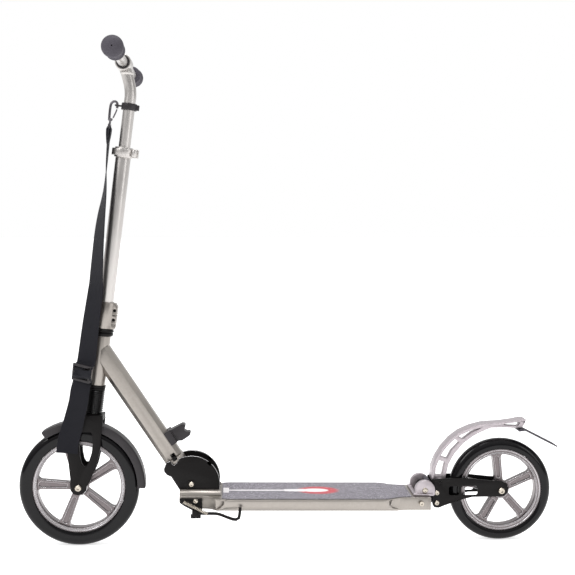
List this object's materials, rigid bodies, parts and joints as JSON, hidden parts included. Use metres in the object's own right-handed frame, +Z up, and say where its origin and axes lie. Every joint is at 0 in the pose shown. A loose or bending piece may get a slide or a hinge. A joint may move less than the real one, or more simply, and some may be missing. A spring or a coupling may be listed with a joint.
{
  "type": "kick scooter",
  "caption": "Folding adult kick scooter with large wheels, sprung fork and rear arm, foot brake, kickstand, height-adjustable bar and carry strap.",
  "frame": {"origin": "middle of the overall box's footprint, on the ground", "axes": "+X to the rear of the scooter, +Y to the rider's right, +Z up"},
  "size_m": [1.041, 0.4496, 0.9393],
  "materials": {
    "satin_silver": "satin polished tube",
    "satin_grey": "warm grey satin anodised",
    "cast_alloy": "light silver-grey, bead blasted",
    "wheel_alloy": "dark grey lacquered with bright edges",
    "black_metal": "satin black powder coat",
    "black_plastic": "matte charcoal",
    "grip_rubber": "matte dark grey",
    "tyre": "semi-gloss black polyurethane",
    "grip_tape": "grey abrasive with sparkle",
    "webbing": "woven charcoal webbing",
    "bright_steel": "bright screws and springs"
  },
  "bodies": {
    "chassis": {"deck": "satin_grey", "grip_tape": "grip_tape", "fold_base": "satin_grey", "fold_plate_left": "black_metal", "fold_plate_right": "black_metal", "fold_pivot_bolt": "bright_steel", "kick_bracket": "black_metal", "kick_bracket_bolt": "bright_steel", "rear_bracket": "cast_alloy", "rear_pivot_bolt": "bright_steel", "kick_spring": "bright_steel"},
    "front_frame": {"head_tube": "satin_grey", "down_tube": "satin_grey", "hinge_block": "satin_grey", "upper_headset_cup": "black_metal", "lower_headset_cup": "black_metal"},
    "fold_release": {"lock_pin": "black_metal", "release_handle": "black_plastic"},
    "steering": {"steerer_tube": "black_metal", "pinch_clamp": "satin_silver", "pinch_screw_lower": "bright_steel", "pinch_screw_upper": "bright_steel", "lower_stem_tube": "satin_silver", "quick_collar": "satin_silver", "quick_skewer": "bright_steel", "strap_buckle": "black_plastic"},
    "quick_lever": {"quick_lever": "satin_silver"},
    "handlebar": {"upper_stem_tube": "satin_silver", "strap_ring": "black_plastic", "snap_hook": "bright_steel", "strap_upper": "webbing"},
    "hook_gate": {"hook_gate": "bright_steel"},
    "bar_left": {"bar_tube_left": "satin_silver", "grip_left": "grip_rubber"},
    "bar_right": {"bar_tube_right": "satin_silver", "grip_right": "grip_rubber"},
    "fork": {"fork": "black_metal", "fork_gaiter": "grip_rubber", "front_mudguard": "black_plastic", "front_axle_bolt": "bright_steel", "strap_lower": "webbing"},
    "front_wheel": {"front_tyre": "tyre", "front_rim": "wheel_alloy", "front_bearing_left": "bright_steel", "front_bearing_right": "bright_steel"},
    "rear_arm": {"arm_left": "black_metal", "arm_right": "black_metal", "swing_block": "cast_alloy", "rear_rubber": "grip_rubber", "arm_bolt_upper": "bright_steel", "arm_bolt_lower": "bright_steel", "rear_axle_bolt": "bright_steel", "brake_pin": "black_metal"},
    "rear_wheel": {"rear_tyre": "tyre", "rear_rim": "wheel_alloy", "rear_bearing_left": "bright_steel", "rear_bearing_right": "bright_steel"},
    "brake": {"brake": "cast_alloy", "mud_flap": "grip_rubber"},
    "kickstand": {"kick_leg": "black_metal"}
  },
  "joints": [
    {"name": "fold", "type": "hinge", "parent": "chassis", "child": "front_frame", "pos_m": [-0.19, 0, 0.1215], "axis": [0, 1, 0], "range_deg": [0, 75]},
    {"name": "fold_release", "type": "slide", "parent": "front_frame", "child": "fold_release", "axis": [-0.5534, 0, 0.8329], "range_m": [0, 0.0045], "stiffness_N_per_m": 1500, "springref_m": -0.006},
    {"name": "steering", "type": "hinge", "parent": "front_frame", "child": "steering", "pos_m": [-0.3971, 0, 0.115], "axis": [0.1262, 0, 0.992], "range_deg": [-50, 50]},
    {"name": "quick_lever", "type": "hinge", "parent": "steering", "child": "quick_lever", "pos_m": [-0.29512, -0.0166, 0.75021], "axis": [0.1262, 0, 0.992], "range_deg": [0, 110]},
    {"name": "bar_height", "type": "slide", "parent": "steering", "child": "handlebar", "axis": [0.1262, 0, 0.992], "range_m": [-0.062, 0], "deforming": ["strap_upper"]},
    {"name": "hook_gate", "type": "hinge", "parent": "handlebar", "child": "hook_gate", "pos_m": [-0.33751, 0, 0.81558], "axis": [0, -1, 0], "range_deg": [0, 16], "stiffness_Nm_per_rad": 0.05, "springref_deg": -20.05},
    {"name": "bar_left_pull", "type": "slide", "parent": "handlebar", "child": "bar_left", "axis": [0, -1, 0], "range_m": [0, 0.036]},
    {"name": "bar_right_pull", "type": "slide", "parent": "handlebar", "child": "bar_right", "axis": [0, 1, 0], "range_m": [0, 0.036]},
    {"name": "fork_slide", "type": "slide", "parent": "steering", "child": "fork", "axis": [0.1262, 0, 0.992], "range_m": [0, 0.014], "stiffness_N_per_m": 6000, "springref_m": -0.02, "deforming": ["fork_gaiter", "strap_lower"]},
    {"name": "front_wheel_spin", "type": "hinge", "parent": "fork", "child": "front_wheel", "pos_m": [-0.4055, 0, 0.115], "axis": [0, 1, 0], "continuous": true},
    {"name": "rear_arm", "type": "hinge", "parent": "chassis", "child": "rear_arm", "pos_m": [0.2585, 0, 0.1054], "axis": [0, -1, 0], "range_deg": [0, 4], "stiffness_Nm_per_rad": 120, "springref_deg": -6.88},
    {"name": "rear_wheel_spin", "type": "hinge", "parent": "rear_arm", "child": "rear_wheel", "pos_m": [0.4105, 0, 0.1], "axis": [0, 1, 0], "continuous": true},
    {"name": "brake", "type": "hinge", "parent": "rear_arm", "child": "brake", "pos_m": [0.2905, 0, 0.1175], "axis": [0, 1, 0], "range_deg": [0, 7.5], "stiffness_Nm_per_rad": 4, "springref_deg": -11.46},
    {"name": "kickstand", "type": "hinge", "parent": "chassis", "child": "kickstand", "pos_m": [-0.1815, -0.055, 0.0725], "axis": [0, 1, 0], "range_deg": [0, 60], "deforming": ["kick_spring"]}
  ]
}
